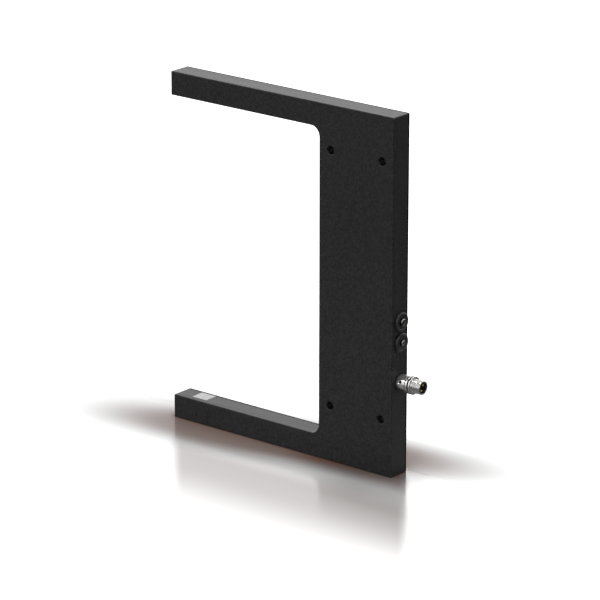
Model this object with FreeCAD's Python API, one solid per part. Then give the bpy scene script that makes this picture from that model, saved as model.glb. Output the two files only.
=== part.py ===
import FreeCAD, Part
import math
import os

# A fork-shaped light barrier. A beam crosses the gap between two arms, from the emitter in the
# lower arm to the receiver in the upper arm. The fork is one milled aluminium frame, closed at the
# back by a thin plate. The narrow rear edge carries two screwdriver adjusters, two signal lights
# and an M8 plug.
# The origin is at the middle of the bottom face, X runs to the rear edge, Z runs up, and the broad
# front face looks along -Y. All sizes are in millimetres.

Vector = FreeCAD.Vector

# Fork
gap_height = 180.0
gap_depth = 108.0
arm_height = 14.0
body_width = 52.0
gap_corner_radius = 6.0
frame_depth = 13.0
gasket_thickness = 0.4
gasket_width = 2.0
cover_thickness = 1.0
edge_chamfer = 0.4

# Walls of the pocket milled into the back of the frame
front_wall = 3.0
arm_wall = 3.5
gap_side_wall = 4.0
rear_wall = 4.5
cutter_radius = 2.0
pocket_from_hole = 9.0
passage_width = 14.0
passage_from_gap = 22.0
gasket_inset = 0.15

# Clearances
fit_clearance = 0.05
running_clearance = 0.05
seat_gap = 0.2

# Mounting holes, for M4 screws
mounting_hole = 4.8
hole_from_edge = 8.0
lower_hole_height = 33.0
upper_hole_from_top = 26.0

# Cover screws, M2 countersunk
cover_screw = 2.0
cover_screw_length = 5.0
screw_from_tip = 4.2
screw_from_corner = 5.5

# Windows and optics in the arms
window_from_tip = 10.5
window_length = 11.0
window_front_margin = 3.6
window_thickness = 1.8
window_ledge = 1.5
optics_length = 15.0
optics_board_thickness = 1.0
lens_diameter = 5.0
lens_thickness = 1.6
lens_recess = 0.2
emitter_side = 3.0
emitter_height = 1.6
photodiode_side = 4.0
photodiode_height = 1.1

# Ribbon leads along the arms
ribbon_width = 4.0
ribbon_thickness = 0.6
ribbon_bend = 6.0

# Rear edge: its axes lie at one distance behind the front face, each above the one before
rear_axis_depth = 7.6
plug_height = 54.8
lights_above_plug = 16.8
selector_above_lights = 6.4
sensitivity_above_selector = 12.0

# Adjusters
bezel_flange = 11.0
bezel_flange_thickness = 1.5
bezel_rim_chamfer = 0.35
bezel_neck_wall = 1.05
sensitivity_rotor_diameter = 4.2
selector_rotor_diameter = 3.2
rotor_proud = 0.7
rotor_collar_reach = 0.5
rotor_collar_thickness = 0.8
rotor_stem = 2.4
rotor_stem_depth = 3.0
rotor_slot_width = 0.8
rotor_slot_depth = 0.8
selector_slot_width = 0.5
selector_slot_length = 2.0
slot_turn = 35.0

# Board, on two rails of the pocket's floor
board_left_margin = 4.0
board_rear_gap = 1.8
board_bottom = 45.0
board_top = 131.0
board_thickness = 1.0
board_notch_gap = 0.5
rail_height = 1.5
rail_width = 3.0

# Parts on the board
adjuster_body_length = 6.6
adjuster_body_side = 6.4
adjuster_body_height = 4.6
led_length = 1.4
led_width = 2.0
led_height = 1.1
back_led_height = 1.6
light_pipe_diameter = 1.8
chip_side = 9.0
chip_height = 1.4
chip_from_board_left = 18.0
chip_above_board_middle = 9.0
regulator_length = 6.6
regulator_width = 3.6
regulator_height = 1.7
regulator_from_board_left = 22.0
regulator_above_bottom = 36.0
capacitor_length = 7.3
capacitor_width = 4.3
capacitor_height = 2.9
capacitor_from_board_left = 9.0
capacitor_above_bottom = 34.0
capacitor_pitch = 6.5
header_length = 9.0
header_depth = 5.0
header_height = 4.6
header_inset = 0.5
plug_header_length = 6.6
lead_length = 5.0

# Plug
plug_thread = 8.0
plug_thread_length = 6.2
plug_thread_chamfer = 0.25
plug_bore = 6.6
plug_base = 9.6
plug_base_length = 5.8
plug_ring = 10.3
plug_ring_length = 3.7
plug_seal_diameter = 10.0
plug_seal_thickness = 0.5
plug_boss_depth = 9.0
plug_boss_wall = 3.0
spanner_hole = 1.8
spanner_hole_from_base = 2.7
spanner_hole_depth = 1.0
spanner_hole_turn = 23.0
insert_recess = 6.0
insert_tail = 1.5
insert_key_width = 0.9
insert_key_height = 0.5
pin_diameter = 1.0
pin_recess = 1.2
pin_tail = 2.0
pin_circle = 3.8
lead_diameter = 0.8

# Faces and axes worked out from the sizes above
overall_width = gap_depth + body_width
overall_height = gap_height + 2 * arm_height
thickness = frame_depth + cover_thickness
tip_x = -overall_width / 2
rear_x = overall_width / 2
gap_x = tip_x + gap_depth
front_y = -thickness / 2
floor_y = front_y + front_wall
cover_y = front_y + frame_depth
rebate_y = cover_y - gasket_thickness
back_y = cover_y + cover_thickness
pocket_gap_x = gap_x + gap_side_wall
pocket_rear_x = rear_x - rear_wall
channel_top = arm_height - arm_wall
passage_x = gap_x + passage_from_gap
pocket_bottom = lower_hole_height + pocket_from_hole
pocket_top = overall_height - upper_hole_from_top - pocket_from_hole
window_low_x = tip_x + window_from_tip
window_high_x = window_low_x + window_length
window_x = (window_low_x + window_high_x) / 2
window_front_y = front_y + window_front_margin
optics_y = (window_front_y + rebate_y) / 2
channel_tip_x = window_x - optics_length / 2
holder_length = optics_length - 2 * cutter_radius
rear_axis_y = front_y + rear_axis_depth
lights_height = plug_height + lights_above_plug
selector_height = lights_height + selector_above_lights
sensitivity_height = selector_height + sensitivity_above_selector
board_low_x = pocket_gap_x + board_left_margin
board_high_x = pocket_rear_x - board_rear_gap
board_low_y = floor_y + rail_height
board_face_y = board_low_y + board_thickness
mounting_places = [
    (x, z)
    for x in (gap_x + hole_from_edge, rear_x - hole_from_edge)
    for z in (lower_hole_height, overall_height - upper_hole_from_top)
]
cover_screw_places = [
    (x, z)
    for x, inset in (
        (tip_x + screw_from_tip, arm_height / 2),
        (rear_x - screw_from_corner, screw_from_corner),
    )
    for z in (inset, overall_height - inset)
]
rotor_face_x = rear_x + bezel_flange_thickness + rotor_proud
collar_face_x = pocket_rear_x - running_clearance
collar_back_x = collar_face_x - rotor_collar_thickness
adjuster_face_x = collar_back_x - seat_gap
stem_end_x = adjuster_face_x - rotor_stem_depth
front_light_y = board_low_y - led_height / 2
back_light_y = board_face_y + back_led_height / 2
plug_boss_x = rear_x - plug_boss_depth
plug_face_x = rear_x + plug_seal_thickness
plug_ring_x = plug_face_x + plug_base_length
plug_thread_x = plug_ring_x + plug_ring_length
plug_end_x = plug_thread_x + plug_thread_length
insert_face_x = plug_end_x - insert_recess
insert_back_x = plug_boss_x - insert_tail
pin_end_x = insert_back_x - pin_tail
lead_start_x = pin_end_x - lead_length
pin_places = [
    (
        rear_axis_y + pin_circle / 2 * math.cos(math.radians(angle)),
        plug_height + pin_circle / 2 * math.sin(math.radians(angle)),
    )
    for angle in (150.0, 30.0, 270.0)
]
header_bottom = board_bottom + header_inset
board_notch_x = pin_end_x - board_notch_gap
past = 1.0


def block(x_low, x_high, y_low, y_high, z_low, z_high):
    size = Vector(x_high - x_low, y_high - y_low, z_high - z_low)
    return Part.makeBox(size.x, size.y, size.z, Vector(x_low, y_low, z_low))


def rounded_block(x_low, x_high, y_low, y_high, z_low, z_high, radius):
    """A block whose four edges along Y are rounded, as a milling cutter leaves them."""
    plain = block(x_low, x_high, y_low, y_high, z_low, z_high)
    corners = [edge for edge in plain.Edges if edge.BoundBox.YLength > (y_high - y_low) / 2]
    return plain.makeFillet(radius, corners)


def rod(diameter, x_low, x_high, y, z):
    return Part.makeCylinder(diameter / 2, x_high - x_low, Vector(x_low, y, z), Vector(1, 0, 0))


def post(diameter, y_low, y_high, x, z):
    return Part.makeCylinder(diameter / 2, y_high - y_low, Vector(x, y_low, z), Vector(0, 1, 0))


def column(diameter, z_low, z_high, x, y):
    return Part.makeCylinder(diameter / 2, z_high - z_low, Vector(x, y, z_low))


def turned(profile, y, z):
    """A lathe part about a line along X, from a profile of positions along X and radii."""
    points = [Vector(x, y + radius, z) for x, radius in profile]
    outline = Part.makePolygon(points + points[:1])
    return Part.Face(outline).revolve(Vector(0, y, z), Vector(1, 0, 0), 360)


def in_upper_arm(shape):
    """The mirror image of a shape in the lower arm."""
    return shape.mirror(Vector(0, 0, overall_height / 2), Vector(0, 0, 1))


def bent_route(points, radius):
    """Straight runs through the points, joined by tangent arcs."""
    edges = []
    start = points[0]
    for before, corner, after in zip(points, points[1:], points[2:]):
        arriving = (corner - before).normalize()
        leaving = (after - corner).normalize()
        half_turn = arriving.getAngle(leaving) / 2
        setback = radius * math.tan(half_turn)
        bend_start = corner - arriving * setback
        bend_end = corner + leaving * setback
        inward = (leaving - arriving).normalize()
        bend_middle = corner + inward * (radius / math.cos(half_turn) - radius)
        edges.append(Part.LineSegment(start, bend_start).toShape())
        edges.append(Part.Arc(bend_start, bend_middle, bend_end).toShape())
        start = bend_end
    edges.append(Part.LineSegment(start, points[-1]).toShape())
    return Part.Wire(edges)


def group(shapes):
    return Part.makeCompound(shapes)


def fork_plate(y_low, y_high, inset):
    """A plate with the outline of the fork, its edges set in by the inset."""
    plate = block(tip_x + inset, rear_x - inset, y_low, y_high, inset, overall_height - inset)
    radius = gap_corner_radius + inset
    gap = rounded_block(
        tip_x - 2 * radius, gap_x + inset, y_low - past, y_high + past,
        arm_height - inset, overall_height - arm_height + inset, radius,
    )
    return plate.cut(gap)


def chamfered_at(shape, y, width):
    """Breaks the edges of a plate that lie in the face at y."""
    edges = [edge for edge in shape.Edges if abs(edge.BoundBox.Center.y - y) < width / 4]
    return shape.makeChamfer(width, edges)


def plug_boss(y_low, y_high):
    """The block behind the rear wall that the plug's shank is screwed into."""
    reach = plug_thread / 2 + plug_boss_wall
    return block(plug_boss_x, rear_x, y_low, y_high, plug_height - reach, plug_height + reach)


def pocket(y_low, y_high):
    """The space for the works: a pocket in the body, and a channel to it from each arm."""
    body = rounded_block(
        pocket_gap_x, pocket_rear_x, y_low, y_high, pocket_bottom, pocket_top, cutter_radius,
    )
    passage = rounded_block(
        passage_x - passage_width / 2, passage_x + passage_width / 2, y_low, y_high,
        arm_wall, overall_height - arm_wall, cutter_radius,
    )
    channel = rounded_block(
        channel_tip_x, passage_x + passage_width / 2, y_low, y_high, arm_wall, channel_top,
        cutter_radius,
    )
    space = body.fuse([passage, channel, in_upper_arm(channel)]).removeSplitter()
    return space.cut(plug_boss(y_low - past, y_high + past))


def board_rails():
    """Two ledges across the pocket's floor, under the ends of the board."""
    return [
        block(board_low_x, board_notch_x, floor_y - past, board_low_y, z, z + rail_width)
        for z in (board_bottom, board_top - rail_width)
    ]


def mounting_hole_cuts():
    return [post(mounting_hole, front_y - past, back_y + past, x, z) for x, z in mounting_places]


def window_opening():
    """The seat of the lower window, cut in from the back, and the beam's way under it."""
    seat = block(
        window_low_x - fit_clearance, window_high_x + fit_clearance,
        window_front_y - fit_clearance, rebate_y + past,
        arm_height - window_thickness, arm_height + past,
    )
    way = block(
        window_low_x + window_ledge, window_high_x - window_ledge,
        window_front_y + window_ledge, rebate_y + past, channel_top - past, arm_height,
    )
    return seat.fuse(way)


def rear_edge_bores():
    through = (pocket_rear_x - past, rear_x + past)
    plug_bore_size = plug_thread + 2 * fit_clearance
    pipe_bore = light_pipe_diameter + 2 * fit_clearance
    sensitivity_bore = bezel_neck(sensitivity_rotor_diameter) + 2 * fit_clearance
    selector_bore = bezel_neck(selector_rotor_diameter) + 2 * fit_clearance
    return [
        rod(sensitivity_bore, *through, rear_axis_y, sensitivity_height),
        rod(selector_bore, *through, rear_axis_y, selector_height),
        rod(pipe_bore, *through, front_light_y, lights_height),
        rod(pipe_bore, *through, back_light_y, lights_height),
        rod(plug_bore_size, plug_boss_x - past, rear_x + past, rear_axis_y, plug_height),
    ]


def gasket_strip(y_low, y_high, outer_inset, inner_inset):
    """A strip along the whole outline of the fork, at its back."""
    outside = fork_plate(y_low, y_high, outer_inset)
    inside = fork_plate(y_low - past, y_high + past, inner_inset)
    return outside.cut(inside)


def housing_frame():
    frame = chamfered_at(fork_plate(front_y, cover_y, 0), front_y, edge_chamfer)
    frame = frame.cut(pocket(floor_y, cover_y + past)).fuse(board_rails())
    screw_bore = cover_screw + 2 * fit_clearance
    screw_bore_end = back_y - cover_screw_length - seat_gap
    cuts = [post(screw_bore, screw_bore_end, cover_y + past, x, z) for x, z in cover_screw_places]
    cuts += mounting_hole_cuts()
    cuts += rear_edge_bores()
    cuts.append(gasket_strip(rebate_y, cover_y + past, -past, gasket_width + fit_clearance))
    cuts += [window_opening(), in_upper_arm(window_opening())]
    return frame.cut(cuts).removeSplitter()


def cover_gasket():
    return gasket_strip(rebate_y, cover_y, gasket_inset, gasket_width)


def countersunk_head(x, z, clearance):
    """A head whose cone fills the cover's thickness, as a solid or as the space for one."""
    neck = cover_screw / 2 + clearance
    face = neck + cover_thickness
    return Part.makeCone(neck, face, cover_thickness, Vector(x, cover_y, z), Vector(0, 1, 0))


def back_cover():
    cover = chamfered_at(fork_plate(cover_y, back_y, 0), back_y, edge_chamfer / 2)
    heads = [countersunk_head(x, z, fit_clearance) for x, z in cover_screw_places]
    return cover.cut(heads + mounting_hole_cuts())


def cover_screws():
    screws = []
    for x, z in cover_screw_places:
        shank = post(cover_screw, back_y - cover_screw_length, cover_y, x, z)
        screws.append(shank.fuse(countersunk_head(x, z, 0)))
    return group(screws)


def window():
    return block(
        window_low_x, window_high_x, window_front_y, rebate_y,
        arm_height - window_thickness, arm_height,
    )


def optics_board():
    low_y = floor_y + seat_gap
    return block(
        window_x - holder_length / 2, window_x + holder_length / 2, low_y, rebate_y - seat_gap,
        arm_wall, arm_wall + optics_board_thickness,
    )


def lens():
    top = channel_top - lens_recess
    return column(lens_diameter, top - lens_thickness, top, window_x, optics_y)


def lens_holder(source_side):
    """A block with a square shaft over the light source or detector and a seat for the lens."""
    bottom = arm_wall + optics_board_thickness
    lens_bottom = channel_top - lens_recess - lens_thickness
    holder = block(
        window_x - holder_length / 2, window_x + holder_length / 2,
        floor_y + seat_gap, rebate_y - seat_gap, bottom, channel_top,
    )
    seat_diameter = lens_diameter + 2 * fit_clearance
    seat = column(seat_diameter, lens_bottom, channel_top + past, window_x, optics_y)
    shaft = square_column(source_side + 2 * fit_clearance, bottom - past, channel_top)
    return holder.cut([seat, shaft])


def square_column(side, z_low, z_high):
    half = side / 2
    return block(window_x - half, window_x + half, optics_y - half, optics_y + half, z_low, z_high)


def light_source(side, height):
    bottom = arm_wall + optics_board_thickness
    return square_column(side, bottom, bottom + height)


def arm_ribbon(header_height):
    """A flat ribbon lead from the optics board along the arm, then up to its header."""
    low_y = board_face_y + seat_gap
    high_y = low_y + ribbon_width
    start_x = window_x + holder_length / 2
    z = arm_wall + optics_board_thickness / 2
    half = ribbon_thickness / 2
    route = bent_route([
        Vector(start_x, low_y, z),
        Vector(passage_x, low_y, z),
        Vector(passage_x, low_y, header_height),
    ], ribbon_bend)
    section = Part.makePolygon([
        Vector(start_x, low_y, z - half),
        Vector(start_x, high_y, z - half),
        Vector(start_x, high_y, z + half),
        Vector(start_x, low_y, z + half),
        Vector(start_x, low_y, z - half),
    ])
    return route.makePipeShell([section], True, False)


def bezel_neck(rotor_diameter):
    """The outer diameter of a bezel's neck round its rotor."""
    return rotor_diameter + 2 * (running_clearance + bezel_neck_wall)


def bezel(rotor_diameter, height):
    """A black insert in the rear edge: a flange outside and a neck through the wall."""
    bore = rotor_diameter / 2 + running_clearance
    neck = bezel_neck(rotor_diameter) / 2
    rim = bezel_flange / 2
    face_x = rear_x + bezel_flange_thickness
    profile = [
        (pocket_rear_x, bore),
        (pocket_rear_x, neck),
        (rear_x, neck),
        (rear_x, rim),
        (face_x - bezel_rim_chamfer, rim),
        (face_x, rim - bezel_rim_chamfer),
        (face_x, bore),
    ]
    return turned(profile, rear_axis_y, height)


def rotor(diameter, height):
    """A screwdriver spindle with a collar behind the bezel and a thin stem."""
    outer = diameter / 2
    collar = outer + rotor_collar_reach
    stem = rotor_stem / 2
    profile = [
        (rotor_face_x, 0),
        (rotor_face_x, outer),
        (collar_face_x, outer),
        (collar_face_x, collar),
        (collar_back_x, collar),
        (collar_back_x, stem),
        (stem_end_x, stem),
        (stem_end_x, 0),
    ]
    return turned(profile, rear_axis_y, height)


def rotor_slot(length, width, height):
    """The space of a screwdriver slot in a rotor's face, turned about its axis."""
    slot = block(
        rotor_face_x - rotor_slot_depth, rotor_face_x + past,
        rear_axis_y - length / 2, rear_axis_y + length / 2, height - width / 2, height + width / 2,
    )
    slot.rotate(Vector(0, rear_axis_y, height), Vector(1, 0, 0), slot_turn)
    return slot


def sensitivity_rotor():
    slot = rotor_slot(2 * sensitivity_rotor_diameter, rotor_slot_width, sensitivity_height)
    return rotor(sensitivity_rotor_diameter, sensitivity_height).cut(slot)


def selector_rotor():
    slot = rotor_slot(selector_slot_length, selector_slot_width, selector_height)
    return rotor(selector_rotor_diameter, selector_height).cut(slot)


def adjuster_body(height):
    """The part on the board that a rotor turns: a body with a round hole for the stem."""
    half = adjuster_body_side / 2
    body = block(
        adjuster_face_x - adjuster_body_length, adjuster_face_x,
        board_face_y, board_face_y + adjuster_body_height, height - half, height + half,
    )
    bore = rotor_stem + 2 * running_clearance
    hole = rod(bore, stem_end_x - seat_gap, adjuster_face_x + past, rear_axis_y, height)
    return body.cut(hole)


def main_board():
    """The board, with its lower rear corner cut away behind the plug."""
    board = block(board_low_x, board_high_x, board_low_y, board_face_y, board_bottom, board_top)
    notch_top = plug_height + plug_thread / 2 + plug_boss_wall + board_notch_gap
    notch = block(
        board_notch_x, board_high_x + past, board_low_y - past, board_face_y + past,
        board_bottom - past, notch_top,
    )
    return board.cut(notch)


def on_board(x, z, length, width, height):
    """A component that stands on the board's face, its middle at x and z."""
    return block(
        x - length / 2, x + length / 2, board_face_y, board_face_y + height,
        z - width / 2, z + width / 2,
    )


def signal_chip():
    middle = (board_bottom + board_top) / 2 + chip_above_board_middle
    return on_board(board_low_x + chip_from_board_left, middle, chip_side, chip_side, chip_height)


def voltage_regulator():
    return on_board(
        board_low_x + regulator_from_board_left, board_bottom + regulator_above_bottom,
        regulator_length, regulator_width, regulator_height,
    )


def smoothing_capacitors():
    x = board_low_x + capacitor_from_board_left
    low = board_bottom + capacitor_above_bottom
    return group([
        on_board(x, z, capacitor_length, capacitor_width, capacitor_height)
        for z in (low, low + capacitor_pitch)
    ])


def ribbon_header(bottom):
    return on_board(passage_x, bottom + header_depth / 2, header_length, header_depth, header_height)


def plug_header():
    x = lead_start_x - header_depth / 2
    return on_board(x, plug_height, header_depth, plug_header_length, header_height)


def signal_led(y_low, y_high):
    """A lamp on the rear end of the board, just inside its light pipe."""
    return block(
        board_high_x - led_length, board_high_x, y_low, y_high,
        lights_height - led_width / 2, lights_height + led_width / 2,
    )


def light_pipe(y):
    return rod(light_pipe_diameter, board_high_x, rear_x, y, lights_height)


def plug_shell():
    """The turned plug body: a shank in the housing, a base, a ring and the coupling thread."""
    shank = plug_thread / 2
    base = plug_base / 2
    ring = plug_ring / 2
    bore = plug_bore / 2
    profile = [
        (plug_boss_x, bore),
        (plug_boss_x, shank),
        (plug_face_x, shank),
        (plug_face_x, base),
        (plug_ring_x, base),
        (plug_ring_x, ring),
        (plug_thread_x, ring),
        (plug_thread_x, shank),
        (plug_end_x - plug_thread_chamfer, shank),
        (plug_end_x, shank - plug_thread_chamfer),
        (plug_end_x, bore),
    ]
    return turned(profile, rear_axis_y, plug_height).cut(spanner_hole_cut())


def spanner_hole_cut():
    """A blind hole in the side of the base, for a pin spanner."""
    turn = math.radians(spanner_hole_turn)
    outward = Vector(0, -math.cos(turn), math.sin(turn))
    x = plug_face_x + spanner_hole_from_base
    start = Vector(x, rear_axis_y, plug_height) + outward * (plug_base / 2 - spanner_hole_depth)
    return Part.makeCylinder(spanner_hole / 2, spanner_hole_depth + past, start, outward)


def plug_insert():
    """The insulating core of the plug, with a key rib in the open end."""
    size = plug_bore - 2 * fit_clearance
    core = rod(size, insert_back_x, insert_face_x, rear_axis_y, plug_height)
    key_top = plug_height + size / 2
    key = block(
        insert_face_x, plug_end_x - pin_recess,
        rear_axis_y - insert_key_width / 2, rear_axis_y + insert_key_width / 2,
        key_top - insert_key_height - fit_clearance, key_top - fit_clearance,
    )
    hole = pin_diameter + 2 * fit_clearance
    cuts = [rod(hole, insert_back_x - past, insert_face_x + past, y, z) for y, z in pin_places]
    return core.fuse(key).cut(cuts)


def plug_pins():
    return group([rod(pin_diameter, pin_end_x, plug_end_x - pin_recess, y, z) for y, z in pin_places])


def plug_seal():
    ring = rod(plug_seal_diameter, rear_x, plug_face_x, rear_axis_y, plug_height)
    hole = plug_thread + 2 * fit_clearance
    return ring.cut(rod(hole, rear_x - past, plug_face_x + past, rear_axis_y, plug_height))


def lead(y, z):
    """An insulated lead from the header to one pin, six-sided."""
    turns = [math.radians(60 * step) for step in range(7)]
    radius = lead_diameter / 2
    corners = [
        Vector(lead_start_x, y + radius * math.cos(turn), z + radius * math.sin(turn))
        for turn in turns
    ]
    return Part.Face(Part.makePolygon(corners)).extrude(Vector(lead_length, 0, 0))


def plug_leads():
    return group([lead(y, z) for y, z in pin_places])


pieces = {
    "housing_frame": housing_frame(),
    "back_cover": back_cover(),
    "cover_gasket": cover_gasket(),
    "cover_screws": cover_screws(),
    "lower_window": window(),
    "upper_window": in_upper_arm(window()),
    "emitter_board": optics_board(),
    "emitter_led": light_source(emitter_side, emitter_height),
    "emitter_lens_holder": lens_holder(emitter_side),
    "emitter_lens": lens(),
    "emitter_ribbon": arm_ribbon(header_bottom),
    "receiver_board": in_upper_arm(optics_board()),
    "receiver_photodiode": in_upper_arm(light_source(photodiode_side, photodiode_height)),
    "receiver_lens_holder": in_upper_arm(lens_holder(photodiode_side)),
    "receiver_lens": in_upper_arm(lens()),
    "receiver_ribbon": in_upper_arm(arm_ribbon(overall_height - board_top + header_inset)),
    "main_board": main_board(),
    "signal_chip": signal_chip(),
    "voltage_regulator": voltage_regulator(),
    "smoothing_capacitors": smoothing_capacitors(),
    "emitter_header": ribbon_header(header_bottom),
    "receiver_header": ribbon_header(board_top - header_inset - header_depth),
    "plug_header": plug_header(),
    "sensitivity_potentiometer": adjuster_body(sensitivity_height),
    "sensitivity_bezel": bezel(sensitivity_rotor_diameter, sensitivity_height),
    "sensitivity_rotor": sensitivity_rotor(),
    "selector_switch": adjuster_body(selector_height),
    "selector_bezel": bezel(selector_rotor_diameter, selector_height),
    "selector_rotor": selector_rotor(),
    "power_led": signal_led(board_face_y, board_face_y + back_led_height),
    "output_led": signal_led(board_low_y - led_height, board_low_y),
    "power_light_pipe": light_pipe(back_light_y),
    "output_light_pipe": light_pipe(front_light_y),
    "plug_shell": plug_shell(),
    "plug_insert": plug_insert(),
    "plug_pins": plug_pins(),
    "plug_seal": plug_seal(),
    "plug_leads": plug_leads(),
}

os.makedirs("parts", exist_ok=True)
for name, shape in pieces.items():
    shape.exportStep("parts/" + name + ".step")
    print(name, "valid" if shape.isValid() else "INVALID", len(shape.Solids), round(shape.Volume, 2))
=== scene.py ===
# %% [markdown]
# # Dressing a fork-shaped light barrier
# The solids of this sensor are already packed as a frame. This lesson loads them, keeps the ones
# whose shape is right, and builds finer pieces for the ones that the eye reaches: the milled fork,
# its cover, the screws, the two adjusters, the lights and the nickel plug.

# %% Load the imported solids
import math

import bmesh
import bpy
from mathutils import Matrix, Vector


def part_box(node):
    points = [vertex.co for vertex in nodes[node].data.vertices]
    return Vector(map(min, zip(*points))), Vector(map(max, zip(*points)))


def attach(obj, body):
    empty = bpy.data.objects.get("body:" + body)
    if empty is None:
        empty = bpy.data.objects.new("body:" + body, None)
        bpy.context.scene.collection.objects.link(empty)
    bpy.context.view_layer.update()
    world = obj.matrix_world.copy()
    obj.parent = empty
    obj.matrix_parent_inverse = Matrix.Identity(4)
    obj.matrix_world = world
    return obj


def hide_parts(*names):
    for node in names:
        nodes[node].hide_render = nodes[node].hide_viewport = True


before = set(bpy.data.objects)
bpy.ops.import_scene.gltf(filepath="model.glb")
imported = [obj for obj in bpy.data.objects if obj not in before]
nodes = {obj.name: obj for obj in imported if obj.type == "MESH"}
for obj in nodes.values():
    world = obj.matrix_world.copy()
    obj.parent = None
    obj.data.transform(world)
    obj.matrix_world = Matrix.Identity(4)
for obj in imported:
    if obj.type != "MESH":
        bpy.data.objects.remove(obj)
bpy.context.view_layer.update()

MM = 0.001

# %% [markdown]
# ## The camera
# A product photograph is taken from far away with a long lens, so that upright edges stay nearly
# upright. The camera's place and its three angles come from fitting the corners of the fork to the
# photograph, and the lens is set to the same field of view. Building the camera's turn from its
# three own directions avoids guessing the order of Euler angles.

# %% Camera
CAMERA_PLACE = Vector((1285.03, -1563.02, 745.09)) * MM
YAW, PITCH, ROLL = (math.radians(angle) for angle in (-39.233, 18.034, 0.038))
LENS, SENSOR_WIDTH, FAR_END = 226.12, 36, 50


def camera_turn():
    """The camera's right, up and backward directions as a rotation."""
    level = math.cos(PITCH)
    ahead = Vector((math.sin(YAW) * level, math.cos(YAW) * level, -math.sin(PITCH)))
    level_right = Vector((math.cos(YAW), -math.sin(YAW), 0))
    level_up = level_right.cross(ahead)
    right = math.cos(ROLL) * level_right + math.sin(ROLL) * level_up
    up = math.cos(ROLL) * level_up - math.sin(ROLL) * level_right
    return Matrix((right, up, -ahead)).transposed().to_4x4()


camera_data = bpy.data.cameras.new("product_camera")
camera_data.lens = LENS
camera_data.sensor_width = SENSOR_WIDTH
camera_data.clip_end = FAR_END
camera = bpy.data.objects.new("product_camera", camera_data)
bpy.context.scene.collection.objects.link(camera)
camera.matrix_world = Matrix.Translation(CAMERA_PLACE) @ camera_turn()
bpy.context.scene.camera = camera
print("camera distance in m:", round(CAMERA_PLACE.length, 2))

# %% [markdown]
# ## Making meshes
# Most parts of a sensor are either plates or turned parts. Two small builders cover both: one
# stacks outlines of equal length and joins them with quads, and one turns a profile about a line.
# Real edges are never knife sharp, and it is the tiny rounding that catches the light, so the
# outlines and profiles that show are rounded before they become faces.
#
# Lengths are in metres, and those of the part are written as a number times MM. Only the profiles
# that `eased` rounds, the pairs that `in_mm` converts and the plug's places are plain millimetres.


# %% Rounded corners in the plane
def rounded(corners, radii, steps, closed=True):
    """A polygon's points with each corner replaced by an arc of its own radius."""
    points = []
    count = len(corners)
    for index, corner in enumerate(corners):
        radius = radii[index]
        at_end = not closed and index in (0, count - 1)
        if radius <= 0 or at_end:
            points.append(Vector(corner))
            continue
        here = Vector(corner)
        back = (Vector(corners[index - 1]) - here).normalized()
        ahead = (Vector(corners[(index + 1) % count]) - here).normalized()
        half = back.angle(ahead) / 2
        centre = here + (back + ahead).normalized() * (radius / math.sin(half))
        first = here + back * (radius / math.tan(half)) - centre
        last = here + ahead * (radius / math.tan(half)) - centre
        sweep = first.angle_signed(last)
        for step in range(steps + 1):
            turn = -sweep * step / steps
            points.append(centre + Matrix.Rotation(turn, 2) @ first)
    return points


square = [(0, 0), (1, 0), (1, 1), (0, 1)]
print("a square with rounded corners has", len(rounded(square, [0.1] * 4, 4)), "points")


# %% Right-angled outlines
def offset_corners(corners, inset):
    """A right-angled polygon, listed anticlockwise, with every side moved inwards."""
    moved = []
    for index, corner in enumerate(corners):
        here = Vector(corner)
        arriving = (here - Vector(corners[index - 1])).normalized()
        leaving = (Vector(corners[(index + 1) % len(corners)]) - here).normalized()
        inwards = Vector((-arriving.y, arriving.x)) + Vector((-leaving.y, leaving.x))
        moved.append(here + inwards * inset)
    return moved


def turns_left(corners, index):
    """Whether the outline's corner is an outer one."""
    here = Vector(corners[index])
    arriving = here - Vector(corners[index - 1])
    leaving = Vector(corners[(index + 1) % len(corners)]) - here
    return arriving.x * leaving.y - arriving.y * leaving.x > 0


print("outer corners of the square:", sum(turns_left(square, index) for index in range(4)))

# %% Stacked outlines
LEAST_RADIUS = 1e-5


def closed_object(name, shape):
    """Makes an object of a bmesh, with its faces pointing outwards."""
    bmesh.ops.recalc_face_normals(shape, faces=shape.faces)
    mesh = bpy.data.meshes.new(name)
    shape.to_mesh(mesh)
    shape.free()
    made = bpy.data.objects.new(name, mesh)
    bpy.context.scene.collection.objects.link(made)
    return made


def join_rings(shape, rings):
    """Quads between each ring of points and the next."""
    for near, far in zip(rings, rings[1:]):
        for index in range(len(near)):
            after = (index + 1) % len(near)
            shape.faces.new((near[index], near[after], far[after], far[index]))


def plate(name, corners, convex_radius, concave_radius, levels, steps=6):
    """A closed plate across Y: levels are pairs of a height along Y and an inset of its outline."""
    shape = bmesh.new()
    rings = []
    for y, inset in levels:
        radii = [
            convex_radius - inset if turns_left(corners, index) else concave_radius + inset
            for index in range(len(corners))
        ]
        radii = [max(radius, LEAST_RADIUS) for radius in radii]
        outline = rounded(offset_corners(corners, inset), radii, steps)
        rings.append([shape.verts.new((point.x, y, point.y)) for point in outline])
    join_rings(shape, rings)
    shape.faces.new(rings[0])
    shape.faces.new(rings[-1])
    return closed_object(name, shape)


def block(name, low, high):
    """A plain box, used only to cut with or to add a rail or a key."""
    corners = [(low[0], low[2]), (high[0], low[2]), (high[0], high[2]), (low[0], high[2])]
    return plate(name, corners, 0, 0, [(low[1], 0), (high[1], 0)], steps=1)


print("least radius of a corner in mm:", LEAST_RADIUS / MM)

# %% Turned parts
ON_AXIS = 1e-7
AXES = {
    "X": Matrix(((0, 0, 1), (1, 0, 0), (0, 1, 0))),
    "Y": Matrix(((0, 1, 0), (0, 0, 1), (1, 0, 0))),
    "Z": Matrix.Identity(3),
}


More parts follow.
